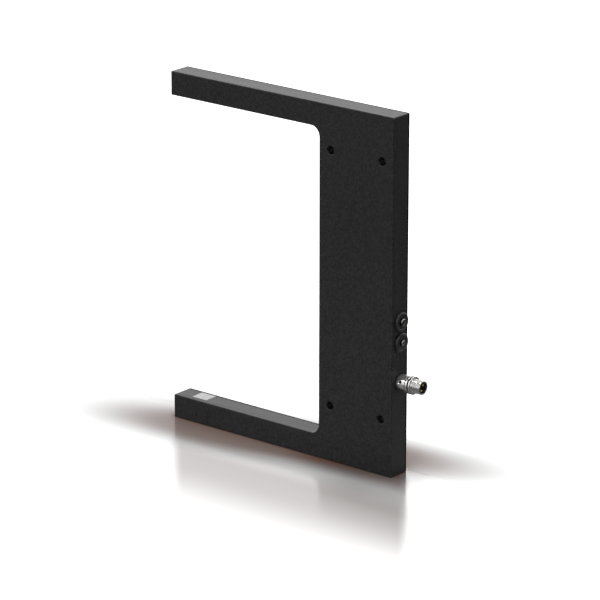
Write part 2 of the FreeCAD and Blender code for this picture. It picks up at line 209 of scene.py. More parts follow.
def turned(name, profile, centre, axis="X", segments=96):
    """A lathe part: the profile's pairs are a position along the axis and a radius."""
    shape = bmesh.new()
    turn = AXES[axis]
    rings = []
    for along, radius in profile:
        if radius < ON_AXIS:
            rings.append([shape.verts.new(Vector(centre) + turn @ Vector((0, 0, along)))])
            continue
        ring = []
        for step in range(segments):
            angle = 2 * math.pi * step / segments
            spot = Vector((radius * math.cos(angle), radius * math.sin(angle), along))
            ring.append(shape.verts.new(Vector(centre) + turn @ spot))
        rings.append(ring)
    solid = len(rings[0]) == 1 and len(rings[-1]) == 1
    pairs = list(zip(rings, rings[1:])) + ([] if solid else [(rings[-1], rings[0])])
    for near, far in pairs:
        for step in range(segments):
            after = (step + 1) % segments
            corners = [
                near[step % len(near)], near[after % len(near)],
                far[after % len(far)], far[step % len(far)],
            ]
            shape.faces.new(list(dict.fromkeys(corners)))
    return closed_object(name, shape)


def in_mm(pairs):
    """Pairs of millimetres as pairs of metres."""
    return [(first * MM, second * MM) for first, second in pairs]


def eased(profile, radius, steps=4, closed=True):
    """A lathe profile in millimetres with its corners rounded, in metres."""
    radii = [0 if across <= 0 else radius * MM for along, across in profile]
    return [tuple(point) for point in rounded(in_mm(profile), radii, steps, closed)]


print("a part can be turned about", sorted(AXES))

# %% [markdown]
# ## Cutting and finishing
# Holes and pockets are cut with Booleans, which is close to what the milling machine does. The
# result is turned into a plain mesh straight away, so no modifier is left that a later step could
# trip over. Weighted normals then keep the broad faces flat while the tiny edge roundings shade
# softly.


# %% Cutting and shading helpers
def settle(made):
    """Turns an object's evaluated shape into its own plain mesh."""
    view = bpy.context.evaluated_depsgraph_get()
    baked = bpy.data.meshes.new_from_object(made.evaluated_get(view))
    made.modifiers.clear()
    old = made.data
    made.data = baked
    bpy.data.meshes.remove(old)


def boolean(made, other, operation="DIFFERENCE"):
    """Cuts the other object away, or joins it on, and removes it."""
    cut = made.modifiers.new("cut", "BOOLEAN")
    cut.operation = operation
    cut.solver = "EXACT"
    cut.object = other
    settle(made)
    bpy.data.objects.remove(other)


def shade(made, sharp_angle=40):
    """Soft shading that leaves the flat faces flat."""
    for face in made.data.polygons:
        face.use_smooth = True
    made.data.set_sharp_from_angle(angle=math.radians(sharp_angle))
    weights = made.modifiers.new("weights", "WEIGHTED_NORMAL")
    weights.keep_sharp = True
    settle(made)


def dress(made, material, body, node):
    """Gives a finished piece its material, hangs it on its body's empty, and hides the solid it
    stands in for.
    """
    made.data.materials.clear()
    made.data.materials.append(material)
    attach(made, body)
    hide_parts(node)
    print(made.name, "faces:", len(made.data.polygons))


def axis_of(node):
    """Where the line along X through a solid's middle crosses the plane X = 0."""
    low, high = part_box(node)
    centre = (low + high) / 2
    return Vector((0, centre.y, centre.z))


print("the plug's axis in mm:", [round(value / MM, 2) for value in axis_of("plug_seal")])

# %% [markdown]
# ## Materials
# A material is a tree of nodes. Written out one by one, the nodes and their wires would fill most
# of this lesson, so a class adds them to a tree and sets or wires their inputs. It also gives the
# soft steps and products that the floor and the world need later.


# %% Nodes of a tree
class Nodes:
    """Adds nodes to one tree."""

    def __init__(self, tree):
        self.new, self.link = tree.nodes.new, tree.links.new

    def filled(self, node, given):
        """A node's outputs, once its given inputs are set or wired to other nodes' outputs."""
        for socket, value in given.items():
            if isinstance(value, bpy.types.NodeSocket):
                self.link(value, node.inputs[socket])
            else:
                node.inputs[socket].default_value = value
        return node.outputs

    def fade(self, source, start, end, first, last, kind="SMOOTHSTEP"):
        """A value that goes from first to last while its source goes from start to end."""
        step = self.new("ShaderNodeMapRange")
        step.interpolation_type = kind
        span = {"From Min": start, "From Max": end, "To Min": first, "To Max": last}
        return self.filled(step, {"Value": source, **span})[0]

    def vector_math(self, operation, *values):
        step = self.new("ShaderNodeVectorMath")
        step.operation = operation
        return self.filled(step, dict(enumerate(values)))

    def math(self, operation, *values):
        step = self.new("ShaderNodeMath")
        step.operation = operation
        return self.filled(step, dict(enumerate(values)))[0]

    def product(self, first, *others):
        for other in others:
            first = self.math("MULTIPLY", first, other)
        return first

    def rest_of(self, share):
        return self.math("SUBTRACT", 1.0, share)

    def mixed(self, share, first, second):
        """The first shader, and the second where the share is 1."""
        return self.filled(self.new("ShaderNodeMixShader"), {0: share, 1: first, 2: second})[0]


print("materials so far:", len(bpy.data.materials))

# %% [markdown]
# Each finish is a Principled surface with a few noise textures that read Object coordinates. The
# pieces are never moved or scaled, so a pattern of 900 cells per metre is really about a
# millimetre wide on the part.

# %% A surface
DARK_SHARE = 0.06


class Surface(Nodes):
    """A Principled material whose noise reads Object coordinates."""

    def __init__(self, name, **settings):
        self.material = bpy.data.materials.new(name)
        self.material.use_nodes = True
        super().__init__(self.material.node_tree)
        self.shader = self.material.node_tree.nodes["Principled BSDF"]
        self.filled(self.shader, {key.replace("_", " "): settings[key] for key in settings})
        self.where = self.new("ShaderNodeTexCoord").outputs["Object"]

    def noise(self, scale, detail=2.0, roughness=0.5, stretch=(1, 1, 1)):
        """Noise of so many cells per metre, stretched by scaling its coordinates."""
        mapping = self.new("ShaderNodeMapping")
        place = self.filled(mapping, {"Vector": self.where, "Scale": stretch})["Vector"]
        given = {"Vector": place, "Scale": scale, "Detail": detail, "Roughness": roughness}
        return self.filled(self.new("ShaderNodeTexNoise"), given)["Fac"]

    def ramp(self, source, *stops):
        """A colour ramp of pairs of a position and a colour or a grey value."""
        ramp = self.new("ShaderNodeValToRGB")
        elements = ramp.color_ramp.elements
        while len(elements) < len(stops):
            elements.new(0.5)
        for element, (position, colour) in zip(elements, stops):
            element.position = position
            grey = isinstance(colour, (int, float))
            element.color = (colour, colour, colour, 1) if grey else (*colour, 1)
        return self.filled(ramp, {"Fac": source})["Color"]

    def darkened(self, colour, centre, stretch, start, end):
        """The colour, nearly black up to a distance from a centre and itself beyond it."""
        apart = self.vector_math("SUBTRACT", self.where, centre)["Vector"]
        shaped = self.vector_math("MULTIPLY", apart, stretch)["Vector"]
        distance = self.vector_math("LENGTH", shaped)["Value"]
        kept = self.fade(distance, start, end, DARK_SHARE, 1.0, "LINEAR")
        return self.vector_math("MULTIPLY", colour, kept)["Vector"]

    def wire(self, source, socket):
        self.link(source, self.shader.inputs[socket])

    def bump(self, height, strength, distance, before=None):
        """A bump of the surface, on top of the one before it."""
        given = {"Strength": strength, "Distance": distance, "Height": height}
        if before is not None:
            given["Normal"] = before
        normal = self.filled(self.new("ShaderNodeBump"), given)["Normal"]
        self.wire(normal, "Normal")
        return normal


print("a darkened colour keeps a share of", DARK_SHARE)

# %% [markdown]
# ### Black anodised aluminium
# The fork is bead-blasted and anodised black. Close up, the surface is a fine speckle, and the
# narrow faces show faint cutter lines that run along them. One noise with its coordinates squeezed
# along X and Z gives lines on the narrow faces and leaves the broad face alone, because that face
# has no depth along Y.

# %% Black anodised aluminium
SPECKLE_CELLS, LINE_CELLS, LINE_STRETCH = 800, 60, (0.12, 22, 0.12)
anodised = Surface("black_anodised_aluminium", Specular_IOR_Level=0.3)
speckle = anodised.noise(SPECKLE_CELLS, detail=5, roughness=0.7)
anodised.wire(anodised.ramp(speckle, (0.32, 0.005), (0.68, 0.030)), "Base Color")
cutter_lines = anodised.noise(LINE_CELLS, detail=4, roughness=0.65, stretch=LINE_STRETCH)
anodised.wire(anodised.ramp(cutter_lines, (0.3, 0.36), (0.7, 0.52)), "Roughness")
grain = anodised.bump(speckle, strength=0.32, distance=0.05 * MM)
anodised.bump(cutter_lines, strength=0.2, distance=0.08 * MM, before=grain)
print("materials so far:", len(bpy.data.materials))

# %% [markdown]
# ### The smaller finishes
# Rubber, moulded plastic, circuit board and plated metal differ mostly in roughness and in how
# coarse their grain is, so one short function makes the mottled ones from a few numbers: two tones,
# the cells of the grain per metre, and the least and most roughness.

# %% Mottled finishes
GRAIN_DEPTH = 0.03 * MM


def mottled(name, dark, light, cells, rough, bump=0.1, **settings):
    """A finish whose colour drifts between two tones, with a matching fine bump."""
    finish = Surface(name, **settings)
    drift = finish.noise(cells, detail=3)
    finish.wire(finish.ramp(drift, (0.3, dark), (0.7, light)), "Base Color")
    finish.wire(finish.ramp(drift, (0.3, rough[0]), (0.7, rough[1])), "Roughness")
    finish.bump(drift, bump, GRAIN_DEPTH)
    return finish.material


rubber = mottled("black_rubber", 0.006, 0.012, 900, (0.6, 0.75), Specular_IOR_Level=0.3)
satin_black = mottled("satin_black_plastic", 0.012, 0.019, 500, (0.36, 0.46), bump=0.04)
cover_black = mottled(
    "black_lacquered_cover", 0.003, 0.007, 1500, (0.5, 0.65), Specular_IOR_Level=0.15
)
matte_black = mottled("matte_black_plastic", 0.010, 0.020, 1200, (0.5, 0.65))
black_steel = mottled("blackened_steel", 0.025, 0.05, 1500, (0.28, 0.4), Metallic=0.8)
milky_pane = mottled(
    "milky_window_pane", (0.23, 0.23, 0.235), (0.30, 0.30, 0.305), 160, (0.2, 0.3), bump=0.02,
    Coat_Weight=0.4, Coat_Roughness=0.08,
)
gold = mottled(
    "gold_plate", (0.88, 0.68, 0.34), (0.96, 0.80, 0.46), 1800, (0.3, 0.42), Metallic=1.0
)
print("materials so far:", len(bpy.data.materials))

# %% [markdown]
# ### Finishes of the hidden works
# The parts behind the cover can be seen only when it is taken off, but each still has its own
# finish: green lacquer on the boards, moulded packages, white headers, soft lead insulation, and
# clear resin and glass in the beam's way.

# %% Finishes of the hidden works
board_green = mottled(
    "green_circuit_board", (0.012, 0.09, 0.035), (0.02, 0.14, 0.055), 700, (0.3, 0.42)
)
package_black = mottled("component_black", 0.018, 0.035, 1600, (0.45, 0.6))
package_blue = mottled(
    "component_blue", (0.03, 0.12, 0.34), (0.05, 0.17, 0.45), 900, (0.35, 0.5)
)
package_yellow = mottled(
    "capacitor_yellow", (0.62, 0.38, 0.07), (0.78, 0.52, 0.13), 900, (0.35, 0.5)
)
header_cream = mottled(
    "header_cream", (0.70, 0.67, 0.58), (0.80, 0.78, 0.70), 900, (0.4, 0.55)
)
grey_lead = mottled(
    "grey_insulation", (0.28, 0.28, 0.29), (0.36, 0.36, 0.37), 1200, (0.45, 0.6)
)
clear_resin = mottled(
    "clear_resin", (0.76, 0.76, 0.72), (0.84, 0.84, 0.82), 900, (0.1, 0.2), Coat_Weight=0.5
)
lens_glass = mottled(
    "polished_lens", (0.86, 0.88, 0.9), (0.92, 0.94, 0.95), 400, (0.02, 0.06), bump=0.0,
    Transmission_Weight=0.9, IOR=1.5,
)
print("materials so far:", len(bpy.data.materials))

# %% [markdown]
# ### Plated metal
# The plug is turned on a lathe, so its fine rings run round it. A noise that changes quickly along
# X and slowly across gives those rings in both roughness and bump. The adjusters' spindles are
# scuffed by screwdrivers. Hardly any light reaches the bottom of a slot or a groove, and the colour
# there is darkened by its place on the part: for the spindles below the plane of their faces, and
# for the plug once its sizes are known.

# %% Turned nickel and scuffed spindles
NICKEL_DARK, NICKEL_LIGHT = (0.54, 0.53, 0.515), (0.68, 0.67, 0.65)
RING_STRETCH = (130, 2, 2)
nickel = Surface("turned_nickel", Metallic=1.0)
cloud = nickel.noise(220, detail=3)
plated = nickel.ramp(cloud, (0.3, NICKEL_DARK), (0.7, NICKEL_LIGHT))
rings = nickel.noise(60, detail=3, roughness=0.7, stretch=RING_STRETCH)
nickel.wire(nickel.ramp(rings, (0.3, 0.24), (0.7, 0.36)), "Roughness")
nickel.bump(rings, strength=0.15, distance=0.05 * MM)

SPINDLE_DARK, SPINDLE_LIGHT = (0.34, 0.33, 0.32), (0.62, 0.605, 0.58)
adjuster_metal = Surface("adjuster_metal", Metallic=1.0)
scuffs = adjuster_metal.noise(900, detail=4, roughness=0.6)
scuffed = adjuster_metal.ramp(scuffs, (0.3, SPINDLE_DARK), (0.7, SPINDLE_LIGHT))
under_face = Vector((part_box("sensitivity_rotor")[1].x - 1 * MM, 0, 0))
slots_shaded = adjuster_metal.darkened(scuffed, under_face, (1, 0, 0), 0.75 * MM, 0.95 * MM)
adjuster_metal.wire(slots_shaded, "Base Color")
adjuster_metal.wire(adjuster_metal.ramp(scuffs, (0.3, 0.2), (0.7, 0.36)), "Roughness")
adjuster_metal.bump(scuffs, strength=0.15, distance=0.03 * MM)
print("materials so far:", len(bpy.data.materials))

# %% [markdown]
# ### Light guides
# Two rods of smoky resin lead the light of the signal lamps through the rear wall. The sensor in
# the photograph is switched off, so nothing glows behind them. A dark colour with a quarter of
# transmission is enough to make them look like resin rather than paint.

# %% Light guides
SHADED_SHARE = 0.75


def light_guide(name, colour):
    """Smoky resin, dark where no light comes from behind."""
    guide = Surface(name, Transmission_Weight=0.25, IOR=1.49, Coat_Weight=0.3)
    haze = guide.noise(800)
    shaded = [SHADED_SHARE * part for part in colour]
    guide.wire(guide.ramp(haze, (0.3, shaded), (0.7, colour)), "Base Color")
    guide.wire(guide.ramp(haze, (0.3, 0.15), (0.7, 0.25)), "Roughness")
    return guide.material


green_guide = light_guide("green_light_guide", (0.03, 0.045, 0.032))
amber_guide = light_guide("amber_light_guide", (0.05, 0.042, 0.028))
print("materials so far:", len(bpy.data.materials))

# %% [markdown]
# ## The milled fork
# The housing is one C-shaped plate. A block with a Bevel modifier could give it too, but the front
# edge, the corners and the gap are rounded by three different radii. So its outline is stacked at
# several depths instead: the first few levels round the front edge, then comes the plain side, and
# at the back a narrow step that the seal lies in. Cutters for the pocket, the window seats, the
# bores and the mounting holes follow, each a solid that the machine would have taken away.

# %% Sizes of the fork
housing_low, housing_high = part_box("housing_frame")
FRONT, LAND, BACK = housing_low.y, housing_high.y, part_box("back_cover")[1].y
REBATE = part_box("cover_gasket")[0].y
LEFT, RIGHT, TOP = housing_low.x, housing_high.x, housing_high.z
GAP_X, ARM, GAP_RADIUS = 28 * MM, 14 * MM, 6 * MM
GASKET_STEP = 2.05 * MM
EDGE, CORNER = 0.45 * MM, 0.6 * MM
PAST = 1 * MM
fork_corners = [
    (LEFT, 0), (RIGHT, 0), (RIGHT, TOP), (LEFT, TOP),
    (LEFT, TOP - ARM), (GAP_X, TOP - ARM), (GAP_X, ARM), (LEFT, ARM),
]


def edge_levels(start, inwards, radius, steps=4):
    """Levels that round an edge, from the face at start to the side wall."""
    levels = []
    for step in range(steps + 1):
        angle = math.pi / 2 * step / steps
        depth, inset = radius * (1 - math.cos(angle)), radius * (1 - math.sin(angle))
        levels.append((start + inwards * depth, inset))
    return levels


print("fork corners in mm:", [(round(x / MM), round(z / MM)) for x, z in fork_corners])

# %% The fork's plate
front_edge = edge_levels(FRONT, 1, EDGE)
rebate_levels = [(REBATE, 0), (REBATE, GASKET_STEP), (LAND, GASKET_STEP)]
fork = plate(
    "fork_housing", fork_corners, CORNER, GAP_RADIUS, front_edge + rebate_levels, steps=10
)
print("plate faces:", len(fork.data.polygons))

# %% [markdown]
# ### Pocket, rails and window seats
# The works lie in a pocket behind the front wall, and a channel runs into each arm. A block of
# metal is left standing in the pocket for the plug's shank, and two rails carry the board. Each
# window lies in a seat with a ledge, and the beam's way goes on through the ledge. One cutter in
# the outline of pocket and channels takes everything out at once, so no thin wall can be left where
# smaller cutters would only touch.

# %% The pocket and channels behind the fork
POCKET_FLOOR = FRONT + 3 * MM
CHANNEL_END, PASSAGE_LOW, PASSAGE_HIGH = -71.5, 43, 57
POCKET_LOW, POCKET_HIGH = (32, 42), (75.5, 173)
CHANNEL_LOW, CHANNEL_HIGH = (3.5, 10.5), (197.5, 204.5)
BOSS_X, BOSS_LOW, BOSS_HIGH = 71, 47.8, 61.8
pocket_corners = in_mm([
    (CHANNEL_END, CHANNEL_LOW[0]), (PASSAGE_HIGH, CHANNEL_LOW[0]),
    (PASSAGE_HIGH, POCKET_LOW[1]), (POCKET_HIGH[0], POCKET_LOW[1]),
    (POCKET_HIGH[0], BOSS_LOW), (BOSS_X, BOSS_LOW), (BOSS_X, BOSS_HIGH),
    (POCKET_HIGH[0], BOSS_HIGH), POCKET_HIGH, (PASSAGE_HIGH, POCKET_HIGH[1]),
    (PASSAGE_HIGH, CHANNEL_HIGH[1]), (CHANNEL_END, CHANNEL_HIGH[1]),
    (CHANNEL_END, CHANNEL_HIGH[0]), (PASSAGE_LOW, CHANNEL_HIGH[0]),
    (PASSAGE_LOW, POCKET_HIGH[1]), (POCKET_LOW[0], POCKET_HIGH[1]), POCKET_LOW,
    (PASSAGE_LOW, POCKET_LOW[1]), (PASSAGE_LOW, CHANNEL_LOW[1]), (CHANNEL_END, CHANNEL_LOW[1]),
])
pocket_levels = [(POCKET_FLOOR, 0), (LAND + PAST, 0)]
boolean(fork, plate("pocket", pocket_corners, 2 * MM, 0.5 * MM, pocket_levels))

RAIL_WIDTH, RAIL_END = 3 * MM, 67 * MM
board_low, board_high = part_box("main_board")
for low_z in (board_low.z, board_high.z - RAIL_WIDTH):
    rail_low = (board_low.x, POCKET_FLOOR - PAST, low_z)
    rail_high = (RAIL_END, board_low.y, low_z + RAIL_WIDTH)
    boolean(fork, block("rail", rail_low, rail_high), "UNION")
print("with its pocket:", len(fork.data.polygons))

# %% Window seats
CLEARANCE, LEDGE = 0.05 * MM, 1.5 * MM
BEAM_WAY_DEPTH = 4.5 * MM
window_low, window_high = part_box("lower_window")


def upside_down(low, high):
    """The same box in the other arm."""
    return (low[0], low[1], TOP - high[2]), (high[0], high[1], TOP - low[2])


seat = (
    (window_low.x - CLEARANCE, window_low.y - CLEARANCE, window_low.z),
    (window_high.x + CLEARANCE, REBATE + PAST, ARM + PAST),
)
way = (
    (window_low.x + LEDGE, window_low.y + LEDGE, ARM - BEAM_WAY_DEPTH),
    (window_high.x - LEDGE, REBATE + PAST, ARM),
)
for opening in (seat, way, upside_down(*seat), upside_down(*way)):
    boolean(fork, block("opening", *opening))
print("with window seats:", len(fork.data.polygons))

# %% [markdown]
# ### Bores and mounting holes
# Five bores open the rear wall for the two adjusters, the two light guides and the plug. The four
# mounting holes go right through and have broken edges. A second cutter, a cone, could break them,
# but a cutter with flared ends does both in one cut.

# %% Bores and mounting holes
SCREW_PLACES = in_mm([(-75.8, 7), (-75.8, 201), (74.5, 5.5), (74.5, 202.5)])
HOLE_PLACES = [(x * MM, z * MM) for x in (36, 72) for z in (33, 182)]
HOLE_RADIUS, HOLE_RIM = 2.4 * MM, 0.3 * MM
SCREW_BORE_END, SCREW_BORE_RADIUS = 1.8 * MM, 1.05 * MM
REAR_BORES = (
    # node, diameter and inner end in mm
    ("sensitivity_bezel", 6.5, 74.5), ("selector_bezel", 5.5, 74.5),
    ("power_light_pipe", 1.9, 74.5), ("output_light_pipe", 1.9, 74.5), ("plug_seal", 8.1, 70),
)


def cylinder(low, high, radius):
    """The profile of a plain cylinder."""
    return [(low, 0), (low, radius), (high, radius), (high, 0)]


def through_hole(place, near, far, rim_near, rim_far):
    """A cutter along Y whose ends flare, so the hole gets broken edges."""
    wide = HOLE_RADIUS + HOLE_RIM + PAST
    profile = [
        (near - PAST, 0), (near - PAST, wide if rim_near else HOLE_RADIUS),
        (near + (HOLE_RIM if rim_near else 0), HOLE_RADIUS),
        (far - (HOLE_RIM if rim_far else 0), HOLE_RADIUS),
        (far + PAST, wide if rim_far else HOLE_RADIUS), (far + PAST, 0),
    ]
    return turned("hole", profile, (place[0], 0, place[1]), axis="Y", segments=64)


for node, diameter, inner_end in REAR_BORES:
    profile = cylinder(inner_end * MM, RIGHT + PAST, diameter * MM / 2)
    boolean(fork, turned("bore", profile, axis_of(node)))
for place in HOLE_PLACES:
    boolean(fork, through_hole(place, FRONT, LAND, True, False))
for x, z in SCREW_PLACES:
    profile = cylinder(SCREW_BORE_END, LAND + PAST, SCREW_BORE_RADIUS)
    boolean(fork, turned("screw_bore", profile, (x, 0, z), axis="Y", segments=32))
shade(fork)
dress(fork, anodised.material, "housing", "housing_frame")

# %% [markdown]
# ## The back cover and its screws
# A one millimetre plate closes the pocket. Its four countersunk screws are the same screw four
# times. Four copies would look the same, but with a Geometry Nodes tree there is only one screw to
# change: the tree takes a screw with a six-lobed recess and puts it on four points.

# %% Back cover
COVER_EDGE = 0.25 * MM
back_edge = edge_levels(BACK, -1, COVER_EDGE)
cover_levels = list(reversed(back_edge + [(LAND, 0)]))
cover = plate("cover_plate", fork_corners, CORNER, GAP_RADIUS, cover_levels, steps=10)
for place in HOLE_PLACES:
    boolean(cover, through_hole(place, LAND, BACK, False, True))
countersink = [
    (LAND - 0.05 * MM, 0), (LAND - 0.05 * MM, 1.0 * MM), (LAND, SCREW_BORE_RADIUS),
    (BACK + 0.2 * MM, 2.25 * MM), (BACK + 0.2 * MM, 0),
]
for x, z in SCREW_PLACES:
    boolean(cover, turned("countersink", countersink, (x, 0, z), axis="Y", segments=48))
shade(cover)
dress(cover, cover_black, "housing", "back_cover")

# %% One countersunk screw
SCREW_LENGTH, SHANK_RADIUS = 5.0, 1.0
HEAD_RADIUS, HEAD_DEPTH, HEAD_RIM = 1.88, 1.0, 0.12
LOBES, LOBE_POINTS = 6, 48
RECESS_RADIUS, LOBE_DEPTH = 0.85 * MM, 0.22 * MM
RECESS_LEVELS = ((-0.55 * MM, 0.9), (0.3 * MM, 1.0))


def lobed_outline():
    """Points of a six-lobed outline."""
    points = []
    for step in range(LOBE_POINTS):
        angle = 2 * math.pi * step / LOBE_POINTS
        reach = RECESS_RADIUS - LOBE_DEPTH * (0.5 - 0.5 * math.cos(LOBES * angle))
        points.append((reach * math.cos(angle), reach * math.sin(angle)))
    return points


def recess_cutter():
    """The six-lobed recess of a screw whose face lies at the origin."""
    shape = bmesh.new()
    outline = lobed_outline()
    low, high = (
        [shape.verts.new((x * share, y, z * share)) for x, z in outline]
        for y, share in RECESS_LEVELS
    )
    join_rings(shape, (low, high))
    shape.faces.new(low)
    shape.faces.new(high)
    return closed_object("recess", shape)


screw_profile = eased([
    (-SCREW_LENGTH, 0), (-SCREW_LENGTH, SHANK_RADIUS), (-HEAD_DEPTH, SHANK_RADIUS),
    (-HEAD_RIM, HEAD_RADIUS), (0, HEAD_RADIUS), (0, 0),
], 0.08, closed=False)
screw_model = turned("screw_model", screw_profile, (0, 0, 0), axis="Y", segments=48)
boolean(screw_model, recess_cutter())
shade(screw_model)
screw_model.data.materials.append(black_steel)
print("one screw's faces:", len(screw_model.data.polygons))


# %% A tree that repeats one part on points
def repeat_tree(name):
    """Instances of one object on the points of a mesh, made real, with a material."""
    tree = bpy.data.node_groups.new(name, "GeometryNodeTree")
    new, link = tree.nodes.new, tree.links.new
    given_sockets = (
        ("Points", "NodeSocketGeometry"), ("Part", "NodeSocketObject"),
        ("Size", "NodeSocketFloat"), ("Finish", "NodeSocketMaterial"),
    )
    for socket, kind in given_sockets:
        tree.interface.new_socket(socket, in_out="INPUT", socket_type=kind)
    tree.interface.new_socket("Parts", in_out="OUTPUT", socket_type="NodeSocketGeometry")
    given = new("NodeGroupInput").outputs
    result = new("NodeGroupOutput")
    part = new("GeometryNodeObjectInfo")
    spread = new("GeometryNodeInstanceOnPoints")
    real = new("GeometryNodeRealizeInstances")
    finish = new("GeometryNodeSetMaterial")
    link(given["Part"], part.inputs["Object"])
    link(given["Points"], spread.inputs["Points"])
    link(part.outputs["Geometry"], spread.inputs["Instance"])
    link(given["Size"], spread.inputs["Scale"])
    link(spread.outputs["Instances"], real.inputs["Geometry"])
    link(real.outputs["Geometry"], finish.inputs["Geometry"])
    link(given["Finish"], finish.inputs["Material"])
    link(finish.outputs["Geometry"], result.inputs["Parts"])
    return tree


repeat_on_points = repeat_tree("repeat_on_points")
print("nodes of the repeating tree:", len(repeat_on_points.nodes))


# %% Four cover screws
def repeated(name, tree, part, points, material):
    """One plain mesh with the part at every point."""
    mesh = bpy.data.meshes.new(name)
    mesh.from_pydata(points, [], [])
    made = bpy.data.objects.new(name, mesh)
    bpy.context.scene.collection.objects.link(made)
    modifier = made.modifiers.new("repeat", "NODES")
    modifier.node_group = tree
    inputs = [item for item in tree.interface.items_tree if item.in_out == "INPUT"]
    sockets = {item.name: item.identifier for item in inputs}
    modifier[sockets["Part"]] = part
    modifier[sockets["Size"]] = 1.0
    modifier[sockets["Finish"]] = material
    settle(made)
    bpy.data.objects.remove(part)
    return made


screw_points = [(x, BACK, z) for x, z in SCREW_PLACES]
screws = repeated("cover_screw_set", repeat_on_points, screw_model, screw_points, black_steel)
dress(screws, black_steel, "housing", "cover_screws")

# %% [markdown]
# ## Windows
# The beam leaves the lower arm and enters the upper arm through a milky pane in each. A pane is a
# slab with softly broken edges. A cube with a Bevel modifier would do, but the builder of rounded
# plates is there already, so each pane is one call of it.

# %% Windows
PANE_EASE, PANE_CORNER = 0.15 * MM, 0.3 * MM


def pane(name, node):
    """A slab that fills the solid's box."""
    low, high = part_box(node)
    corners = [(low.x, low.z), (high.x, low.z), (high.x, high.z), (low.x, high.z)]
    near = edge_levels(low.y, 1, PANE_EASE, 3)
    far = list(reversed(edge_levels(high.y, -1, PANE_EASE, 3)))
    made = plate(name, corners, PANE_CORNER, 0, near + far, steps=4)
    shade(made)
    dress(made, milky_pane, "housing", node)


pane("lower_pane", "lower_window")
pane("upper_pane", "upper_window")

# %% [markdown]
# ## The two adjusters
# Each adjuster is a satin black insert with a metal screwdriver spindle in its middle. The insert
# has a rounded rim and a shallow dish round the spindle. A cylinder could be shaped by hand, but
# both are turned parts, and a profile keeps their depths in plain numbers. A Boolean cuts the slot.
# The spindles ride on bodies of their own, because they really turn.

# %% Adjuster inserts
RIM_WIDTH, RIM_DROP = 0.5, 0.45
DISH_RIM, DISH_EDGE, DISH_DEPTH = 1.1, 1.4, 0.28
FUNNEL_WIDTH, FUNNEL_DEPTH = 0.35, 0.6
INSERT_EASE = 0.2


def insert_ring(name, node, bore, neck):
    """A flanged ring with a dish in its face, its bore and neck given as radii in mm."""
    low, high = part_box(node)
    x_in, x_out, wall = low.x / MM, high.x / MM, RIGHT / MM
    rim = (high.z - low.z) / 2 / MM
    profile = eased([
        (x_in, bore), (x_in, neck), (wall, neck), (wall, rim), (x_out - RIM_DROP, rim),
        (x_out, rim - RIM_WIDTH), (x_out, rim - DISH_RIM), (x_out - DISH_DEPTH, rim - DISH_EDGE),
        (x_out - DISH_DEPTH, bore + FUNNEL_WIDTH), (x_out - FUNNEL_DEPTH, bore),
    ], INSERT_EASE)
    made = turned(name, profile, axis_of(node), segments=128)
    shade(made, 60)
    dress(made, satin_black, "housing", node)


insert_ring("sensitivity_insert", "sensitivity_bezel", bore=2.15, neck=3.2)
insert_ring("selector_insert", "selector_bezel", bore=1.65, neck=2.7)

# %% Screwdriver spindles
STEM_RADIUS, STEM_LENGTH, COLLAR_LENGTH = 1.2, 3.2, 0.8
FACE_DROP, FACE_WIDTH = 0.15, 0.3
SLOT_DEPTH, SLOT_TURN = 0.8 * MM, math.radians(35)


def spindle(name, node, body, radius, slot_width, slot_length):
    """A stem, a collar and a head with a screwdriver slot, its sizes in mm."""
    low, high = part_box(node)
    x_in, x_out = low.x / MM, high.x / MM
    collar, collar_start = (high.z - low.z) / 2 / MM, x_in + STEM_LENGTH
    profile = eased([
        (x_in, 0), (x_in, STEM_RADIUS), (collar_start, STEM_RADIUS), (collar_start, collar),
        (x_in + STEM_LENGTH + COLLAR_LENGTH, collar), (x_in + STEM_LENGTH + COLLAR_LENGTH, radius),
        (x_out - FACE_DROP, radius), (x_out, radius - FACE_WIDTH), (x_out, 0),
    ], 0.08, closed=False)
    axis = axis_of(node)
    made = turned(name, profile, axis, segments=96)
    half_width, half_length = slot_width / 2 * MM, slot_length / 2 * MM
    slot = block("slot", (-SLOT_DEPTH, -half_length, -half_width), (PAST, half_length, half_width))
    slot.data.transform(Matrix.Rotation(SLOT_TURN, 4, "X"))
    slot.data.transform(Matrix.Translation((high.x, axis.y, axis.z)))
    boolean(made, slot)
    shade(made, 35)
    dress(made, adjuster_metal.material, body, node)


spindle(
    "sensitivity_spindle", "sensitivity_rotor", "sensitivity_adjuster",
    radius=2.1, slot_width=0.8, slot_length=9.6,
)
spindle(
    "selector_spindle", "selector_rotor", "selector_adjuster",
    radius=1.6, slot_width=0.5, slot_length=2.0,
)

# %% [markdown]
# ## Light guides in the rear edge
# The two guides are short rods that end flush with the rear wall. Their ends are rounded, so that
# each shows as a small dark spot with a soft rim. A painted disc would show the same spot, but the
# bores are real ones, and an empty bore behind a disc would be seen with the cover off.


# %% Light guides in the rear edge
def guide_rod(name, node, material):
    """A rod with rounded ends that fills the solid's box."""
    low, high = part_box(node)
    radius = (high.z - low.z) / 2 / MM
    profile = eased(cylinder(low.x / MM, high.x / MM, radius), 0.2, 5, closed=False)
    made = turned(name, profile, axis_of(node), segments=48)
    shade(made, 60)
    dress(made, material, "housing", node)


guide_rod("power_guide", "power_light_pipe", green_guide)
guide_rod("output_guide", "output_light_pipe", amber_guide)

# %% [markdown]
# ## The plug
# The nickel plug is turned from bar: a base with a blind hole for a pin spanner, two narrow rings
# with a groove before each, and the coupling thread. A real thread is a helix, so its crests
# climb by one pitch in each turn. A Screw modifier could wind a tooth round a cylinder, but that
# leaves two meshes that pass through each other. So the thread is a part of the sleeve's own mesh:
# a grid whose radius depends on both the angle and the place along the axis, and which fades out
# at both ends, as a cut thread does.

